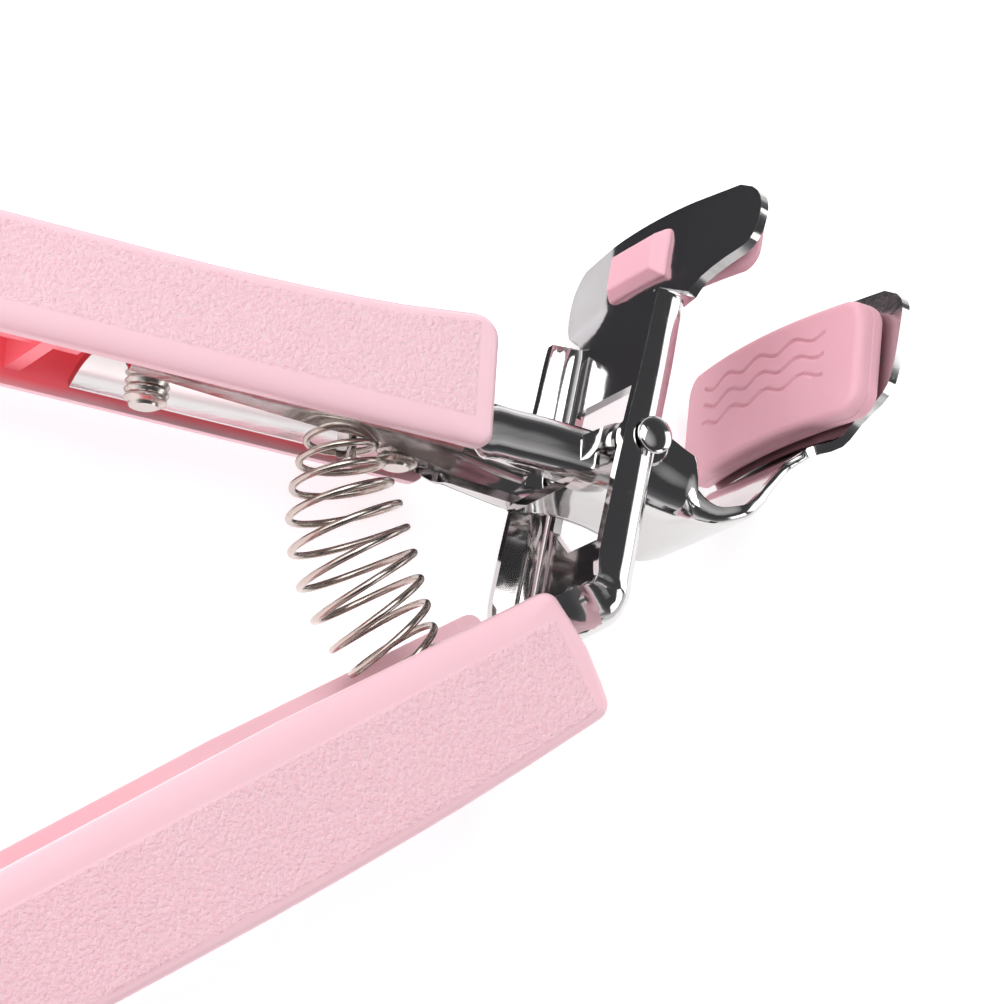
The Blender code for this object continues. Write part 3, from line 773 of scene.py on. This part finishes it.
def denseBox(steps):
    # a box of unit half sizes whose faces are grids with steps = (up, across, out)
    work = bmesh.new()
    bmesh.ops.create_cube(work, size=2.0)
    for axis, count in enumerate(steps):
        for index in range(1, count):
            cut = -1 + 2 * index / count
            cut = math.copysign(abs(cut) ** 0.8, cut)
            place = Vector((0, 0, 0))
            place[axis] = cut
            normal = Vector((0, 0, 0))
            normal[axis] = 1
            bmesh.ops.bisect_plane(work, geom=work.verts[:] + work.edges[:] + work.faces[:], plane_co=place,
                                   plane_no=normal, dist=1e-6)
    return work


def makePad(name, pad, material, body, node):
    halfSize = Vector((pad["height"] / 2, pad["half"], pad["thick"] / 2))
    work = denseBox(pad["grid"])
    edge, g = pad["edge"], grooveShape
    for vert in work.verts:
        p = Vector((vert.co.x * halfSize.x, vert.co.y * halfSize.y, vert.co.z * halfSize.z))
        # plan corners pull in, then the long edges round over
        over = Vector((abs(p.x) - (halfSize.x - pad["corner"]), abs(p.y) - (halfSize.y - pad["corner"])))
        if over.x > 0 and over.y > 0:
            scale = max(over.x, over.y) / over.length
            p.x = math.copysign(halfSize.x - pad["corner"] + over.x * scale, p.x)
            p.y = math.copysign(halfSize.y - pad["corner"] + over.y * scale, p.y)
        rimX = halfSize.x - abs(p.x)
        rimY = halfSize.y - abs(p.y)
        cornerOver = Vector((max(0, pad["corner"] - rimX), max(0, pad["corner"] - rimY))).length
        rim = min(rimX, rimY) if cornerOver <= 0 else min(rimX, rimY, pad["corner"] - cornerOver)
        rim = max(0.0, rim)
        if pad["grooves"] and rim < 0.02:
            # a groove round the side parts the block from its base flange
            notch = g["notch"] * max(0.0, 1 - abs(p.z + halfSize.z - g["base"]) / g["notch"])
            p.x -= math.copysign(notch, p.x) if rimX < 0.02 or cornerOver > 0 else 0
            p.y -= math.copysign(notch, p.y) if rimY < 0.02 or cornerOver > 0 else 0
        if rim < edge:
            shrink = edge - math.sqrt(max(0.0, edge * edge - (edge - rim) ** 2))
            p.z = math.copysign(max(0.0, abs(p.z) - shrink), p.z)
        out = padBack + halfSize.z + p.z
        if pad["grooves"] and p.z > halfSize.z - 0.05:
            fade = ramp(g["reach"] - abs(p.y - g["middle"]), 0, 0.6)
            for line in range(pad["grooves"]):
                phase = 2 * math.pi * (p.y / g["length"] + line * g["shift"])
                centre = g["rise"] + (line - 1) * g["spacing"] + g["wave"] * math.sin(phase)
                away = abs(p.x - centre) / g["width"]
                out -= g["depth"] * fade * max(0.0, 1 - away * away) if away < 1 else 0
        vert.co = toWorld(padPoint(pad, pad["middle"] + p.x, p.y + pad["aside"], out))
    bmesh.ops.remove_doubles(work, verts=work.verts, dist=0.000005)
    bmesh.ops.recalc_face_normals(work, faces=work.faces)
    mesh = bpy.data.meshes.new(name)
    work.to_mesh(mesh)
    work.free()
    whole = joined(name, [newObject(name, mesh), plugPiece(pad)])
    smoothSkin(whole, 45)
    finishPiece(whole, material, body, "pad_rubber", node)


def plugPiece(pad):
    plug = plugShape
    points, faces = [], []
    h, c = plug["height"] / 2, plug["chamfer"]
    for out, inset in ((1.6, 0), (-plug["stands"] + c, 0), (-plug["stands"], c)):
        for up, across in ((-1, -1), (1, -1), (1, 1), (-1, 1)):
            end = plug["high"] - inset if across > 0 else plug["low"] + inset
            points.append(padPoint(pad, pad["middle"] + up * (h - inset * 0.7), end, out))
    for ring in (0, 4):
        faces += [(ring + i, ring + (i + 1) % 4, ring + 4 + (i + 1) % 4, ring + 4 + i) for i in range(4)]
    faces += [(0, 1, 2, 3), (11, 10, 9, 8)]
    piece = fromPoints("plug", points, faces)
    tidyMesh(piece)
    return softEdges(piece, plug["soft"], 3)


padRubber = rubberFinish()
makePad("rearPad", padShapes["rearPad"], padRubber, fixedSide, "rear_pad")
makePad("frontPad", padShapes["frontPad"], padRubber, movingSide, "front_pad")
print("pads moulded")


# two short rivets and two washers on the pivot line

rivetShape = {"shank": 1.35, "head": 1.95, "dome": 0.75, "tail": 6.7, "seat": 11.3}
washerShape = {"outer": 2.8, "hole": 1.6, "low": 8.25, "high": 9.75, "round": 0.25}


def makePivot():
    r = rivetShape
    dome = [(r["head"] * math.cos(a), r["seat"] + 0.18 + (r["dome"] - 0.18) * math.sin(a))
            for a in (math.radians(angle) for angle in range(0, 91, 9))]
    profile = [(0, r["tail"] - 0.9), (1.3, r["tail"] - 0.9), (1.75, r["tail"] - 0.6), (1.95, r["tail"] - 0.2),
               (1.95, r["tail"]), (r["shank"], r["tail"]), (r["shank"], r["seat"]), (r["head"], r["seat"])] + dome
    w = washerShape
    ring = [(w["hole"], w["low"]), (w["outer"] - w["round"], w["low"]), (w["outer"], w["low"] + w["round"]),
            (w["outer"], w["high"] - w["round"]), (w["outer"] - w["round"], w["high"]), (w["hole"], w["high"]),
            (w["hole"], w["low"])]
    for label, flip in (("Near", 1), ("Far", -1)):
        rivet = turnedPiece("pivotRivet" + label, profile, (0, 0, 0), (0, 0, flip))
        smoothSkin(rivet, 40)
        finishPiece(rivet, brightSteel, fixedSide, "bright_steel", "pivot_rivet_" + label.lower())
        washer = turnedPiece("pivotWasher" + label, ring, (0, 0, 0), (0, 0, flip))
        smoothSkin(washer, 40)
        finishPiece(washer, brightSteel, fixedSide, "bright_steel", "pivot_washer_" + label.lower())


makePivot()
print("pivot riveted")


# node trees for the coil and the screw threads

def newTree(name, inputs):
    tree = bpy.data.node_groups.new(name, "GeometryNodeTree")
    for label, kind in inputs:
        tree.interface.new_socket(label, in_out="INPUT", socket_type=kind)
    tree.interface.new_socket("Geometry", in_out="OUTPUT", socket_type="NodeSocketGeometry")
    graph = Graph(tree)
    source = tree.nodes.new("NodeGroupInput")
    values = {label: Sock(graph, source.outputs[label]) for label, kind in inputs}
    return tree, graph, values


def closeTree(graph, geometry, material):
    real = graph.add("GeometryNodeRealizeInstances", {}, [geometry])
    painted = graph.add("GeometryNodeSetMaterial", {}, {"Geometry": real, "Material": material})
    sink = graph.tree.nodes.new("NodeGroupOutput")
    graph.tree.links.new(painted.socket, sink.inputs[0])


def runTree(name, tree, values, mesh=None):
    piece = newObject(name, mesh or bpy.data.meshes.new(name))
    step = piece.modifiers.new(name, "NODES")
    step.node_group = tree
    for item in tree.interface.items_tree:
        if item.item_type == "SOCKET" and item.in_out == "INPUT" and item.name in values:
            step[item.identifier] = values[item.name]
    bake(piece)
    return piece


number = "NodeSocketFloat"
coilShape = {"Wire Radius": 0.38, "Turns": 10.64, "Arc Start": 167.4, "Arc End": 217.3, "Reach Start": 29.5,
             "Reach End": 33.0, "Start Radius": 3.1, "Belly Radius": 5.95, "End Radius": 3.8, "Start Angle": 113.3,
             "Close": 0.2, "Swell": 1.4}
coilPoints = 720


def coilTree(material):
    tree, graph, value = newTree("coil", [("Material", "NodeSocketMaterial"), ("Pivot", "NodeSocketVector")]
                                 + [(label, number) for label in coilShape])
    line = graph.add("GeometryNodeCurvePrimitiveLine")
    dense = graph.add("GeometryNodeResampleCurve", {}, {"Curve": line, "Count": coilPoints})
    share = graph.add("GeometryNodeSplineParameter")
    travel = share - (share * (2 * math.pi)).maths("SINE") * value["Close"] / (2 * math.pi)
    swell = (share * math.pi).maths("SINE").maths("MAXIMUM", 0.0) ** value["Swell"]
    ends = value["Start Radius"] + (value["End Radius"] - value["Start Radius"]) * share
    radius = ends * (1 - swell) + value["Belly Radius"] * swell
    turn = (value["Start Angle"] - value["Turns"] * share * 360).maths("RADIANS")
    bearing = (value["Arc Start"] + (value["Arc End"] - value["Arc Start"]) * travel).maths("RADIANS")
    reach = value["Reach Start"] + (value["Reach End"] - value["Reach Start"]) * travel + radius * turn.maths("COSINE")
    place = graph.add("ShaderNodeCombineXYZ", {}, [reach * bearing.maths("COSINE"), reach * bearing.maths("SINE"),
                                                   radius * turn.maths("SINE")])
    scaled = graph.add("ShaderNodeVectorMath", {"operation": "SCALE"}, {"Vector": place, "Scale": mm})
    moved = graph.add("ShaderNodeVectorMath", {"operation": "ADD"}, [scaled, value["Pivot"]])
    bent = graph.add("GeometryNodeSetPosition", {}, {"Geometry": dense, "Position": moved})
    wire = graph.add("GeometryNodeCurvePrimitiveCircle", {}, {"Resolution": 12, "Radius": value["Wire Radius"] * mm})
    tube = graph.add("GeometryNodeCurveToMesh", {}, {"Curve": bent, "Profile Curve": wire, "Fill Caps": True})
    closeTree(graph, tube, value["Material"])
    return tree


def makeSpring():
    material = metalFinish("springWire")
    spring = runTree("returnSpring", coilTree(material), {**coilShape, "Material": material, "Pivot": tuple(pivot)})
    tidyMesh(spring, 0.000002)
    smoothSkin(spring, 60, weighted=False)
    spring.data.materials.clear()
    spring.data.materials.append(material)

    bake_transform(spring)
    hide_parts("return_spring")


makeSpring()
print("spring wound")


def threadTree():
    labels = ("Radius", "Thread", "Pitch", "Length")
    tree, graph, value = newTree("thread", [("Geometry", "NodeSocketGeometry"), ("Material", "NodeSocketMaterial"),
                                            ("Turn", "NodeSocketVector")] + [(label, number) for label in labels])
    grid = graph.add("GeometryNodeMeshGrid", {}, {"Size X": 1.0, "Size Y": 1.0, "Vertices X": screwShape["around"],
                                                  "Vertices Y": screwShape["rows"]})
    spot = graph.add("ShaderNodeSeparateXYZ", {}, [graph.add("GeometryNodeInputPosition")])
    share = spot.other("Y") + 0.5
    angle = spot * (2 * math.pi)
    rise = ((share - 0.04) / 0.92).clamped()
    height = rise * value["Length"]
    phase = (height / value["Pitch"] + spot).maths("FRACT")
    ridge = (phase * 2 - 1).maths("ABSOLUTE")
    crown = (1 - height / 1.1).maths("MAXIMUM", 0.0)
    body = value["Radius"] - value["Thread"] * ridge - crown * crown * 0.8
    closing = (share / 0.04).maths("MINIMUM", 1.0) * ((1 - share) / 0.04).maths("MINIMUM", 1.0)
    radius = body * closing.maths("MAXIMUM", 0.0)
    place = graph.add("ShaderNodeCombineXYZ", {}, [radius * angle.maths("COSINE"), radius * angle.maths("SINE"),
                                                   height])
    scaled = graph.add("ShaderNodeVectorMath", {"operation": "SCALE"}, {"Vector": place, "Scale": mm})
    rolled = graph.add("GeometryNodeSetPosition", {}, {"Geometry": grid, "Position": scaled})
    closed = graph.add("GeometryNodeMergeByDistance", {}, {"Geometry": rolled, "Distance": 0.000002})
    spread = graph.add("GeometryNodeInstanceOnPoints", {}, {"Points": value["Geometry"], "Instance": closed,
                                                            "Rotation": value["Turn"]})
    closeTree(graph, spread, value["Material"])
    return tree


def screwHead(spec, along):
    s = screwShape
    seat = s["seat"] + s["gap"]
    down = (Vector(handlePoint(spec, 0, 1)) - Vector(handlePoint(spec, 0, 0))).normalized()
    start = Vector(handlePoint(spec, along, seat))
    high = s["headHeight"]
    dome = [(s["headRadius"] - 0.9 * (1 - math.cos(a)), high - 0.9 + 0.9 * math.sin(a))
            for a in (math.radians(angle) for angle in range(0, 91, 15))]
    head = turnedPiece("head", [(0, 0), (s["headRadius"], 0)] + dome + [(0, high)], start, down)
    for turned in (0, 1):
        half = (1.7, 0.32) if turned else (0.32, 1.7)
        slot = blockIn("slot", spec, along - half[0], along + half[0], seat + high - 1.0, seat + high + 1, half[1])
        carve(head, slot)
    return head


def makeScrews(label, spec, body, material, tree):
    s = screwShape
    down = Vector(handlePoint(spec, 0, 1)) - Vector(handlePoint(spec, 0, 0))
    turn = Vector((0, 0, 1)).rotation_difference(down).to_euler()
    tips = bpy.data.meshes.new(label)
    tips.from_pydata([toWorld(handlePoint(spec, along, spec["tip"])) for along in spec["screws"]], [], [])
    threads = runTree(label + "Threads", tree, {
        "Material": material, "Turn": tuple(turn), "Radius": s["radius"], "Thread": s["thread"], "Pitch": s["pitch"],
        "Length": s["seat"] + s["gap"] - spec["tip"]}, tips)
    tidyMesh(threads, 0.000002)
    screws = joined(label + "Screws", [threads] + [screwHead(spec, along) for along in spec["screws"]])
    smoothSkin(screws, 50)
    finishPiece(screws, material, body, "screw_steel", label + "_screw_front", label + "_screw_rear")


screwSteel = metalFinish("screwSteel")
screwThread = threadTree()
makeScrews("upper", upperHandle, movingSide, screwSteel, screwThread)
makeScrews("lower", lowerHandle, fixedSide, screwSteel, screwThread)
print("screws driven")


# floor, light and camera

stageShape = {"floorSize": 6.0, "floorColour": (0.93, 0.93, 0.93, 1.0), "lift": 0.5}
lamps = [
    {"name": "overhead", "from": (-170, 210, 470), "size": 0.42, "watts": 2.25},
    {"name": "left", "from": (-420, 160, 240), "size": 0.34, "watts": 0.7},
    {"name": "front", "from": (260, -380, 260), "size": 0.22, "watts": 0.35},
    {"name": "right", "from": (430, -60, 190), "size": 0.3, "watts": 0.55},
]
dark, grey = (0.035, 0.035, 0.04, 1.0), (0.86, 0.86, 0.88, 1.0)
cards = {
    "cardUnderJaw": (dark, [(-3.1, -4.5, -18.9), (33.3, 72.4, -18.9), (-22.0, 98.7, -18.9), (-58.6, 21.7, -18.9)]),
    "cardBetween": (dark, [(-90, -130, -18.9), (8, -130, -18.9), (70, -600, -18.9), (-90, -600, -18.9)]),
    "cardFar": (dark, [(-90, -600, -18.9), (70, -600, -18.9), (70, -600, 90), (-90, -600, 90)]),
    "cardPale": (grey, [(-3.1, -4.5, -18.8), (33.3, 72.4, -18.8), (44.1, 67.3, -18.8), (7.7, -9.6, -18.8)]),
}
shot = {"right": (0.837, -0.222, 0.4995), "back": (-0.536, -0.154, 0.830), "aside": (-9.582, -3.874),
        "distance": 450.0, "lens": 158.28, "sensor": 36.0}


def makeFloor():
    mesh = bpy.data.meshes.new("floor")
    size = stageShape["floorSize"]
    mesh.from_pydata([(x * size, y * size, cadBox[0][2] - 0.0005) for x, y in ((-1, -1), (1, -1), (1, 1), (-1, 1))], [],
                     [(0, 1, 2, 3)])
    floor = newObject("floor", mesh)
    material, graph, shader = newFinish("floorPaper", Roughness=0.9)
    coords = graph.add("ShaderNodeTexCoord", output="Object")
    fibre = noise(graph, coords, 300.0, 4.0, 0.6)
    colour = mixColour(graph, fibre * 0.04, stageShape["floorColour"], (0.9, 0.9, 0.9, 1.0))
    feed(graph, shader, {"Base Color": colour})
    shader.inputs["Emission Color"].default_value = (1, 1, 1, 1)
    shader.inputs["Emission Strength"].default_value = stageShape["lift"]
    floor.data.materials.append(material)


def makeCards():
    # only reflections see the cards: they give the polished steel its dark and grey faces
    for name, (shade, corners) in cards.items():
        material, graph, shader = newFinish(name, **{"Base Color": shade, "Roughness": 1.0})
        card = fromPoints(name, corners, [(0, 1, 2, 3)])
        card.data.materials.append(material)
        card.visible_camera = card.visible_shadow = card.visible_diffuse = False


def makeLamps():
    for lamp in lamps:
        data = bpy.data.lights.new(lamp["name"], "AREA")
        data.shape = "SQUARE"
        data.size = lamp["size"]
        data.energy = lamp["watts"]
        light = bpy.data.objects.new(lamp["name"], data)
        bpy.context.scene.collection.objects.link(light)
        light.location = toWorld(lamp["from"])
        light.rotation_euler = (pivot - light.location).to_track_quat("-Z", "Y").to_euler()


def makeWorld():
    world = bpy.data.worlds.new("studio")
    bpy.context.scene.world = world
    world.use_nodes = True
    graph = Graph(world.node_tree)
    coords = graph.add("ShaderNodeTexCoord", output="Generated")
    height = graph.add("ShaderNodeSeparateXYZ", {}, [coords]).other("Z")
    bands = graph.add("ShaderNodeValToRGB", {"stops": [
        (0.0, (1.0, 1.0, 1.0)), (0.58, (1.0, 1.0, 1.0)), (0.66, (0.2, 0.2, 0.21)), (0.80, (0.085, 0.085, 0.09)),
        (0.94, (0.075, 0.075, 0.08)), (1.0, (0.7, 0.7, 0.7))]}, [height * 0.5 + 0.5])
    background = world.node_tree.nodes["Background"]
    graph.tree.links.new(bands.socket, background.inputs["Color"])
    background.inputs["Strength"].default_value = 0.86


def makeCamera():
    right = Vector(shot["right"]).normalized()
    back = Vector(shot["back"])
    back = (back - right * back.dot(right)).normalized()
    up = back.cross(right)
    target = pivot + (right * shot["aside"][0] + up * shot["aside"][1]) * mm
    data = bpy.data.cameras.new("camera")
    data.sensor_width = shot["sensor"]
    data.lens = shot["lens"]
    data.clip_start = 0.01
    camera = bpy.data.objects.new("camera", data)
    bpy.context.scene.collection.objects.link(camera)
    camera.matrix_world = (Matrix.Translation(target + back * shot["distance"] * mm)
                           @ Matrix((right, up, back)).transposed().to_4x4())
    bpy.context.scene.camera = camera


makeFloor()
makeCards()
makeLamps()
makeWorld()
makeCamera()
bpy.context.scene.view_settings.view_transform = "Standard"
print("studio set")
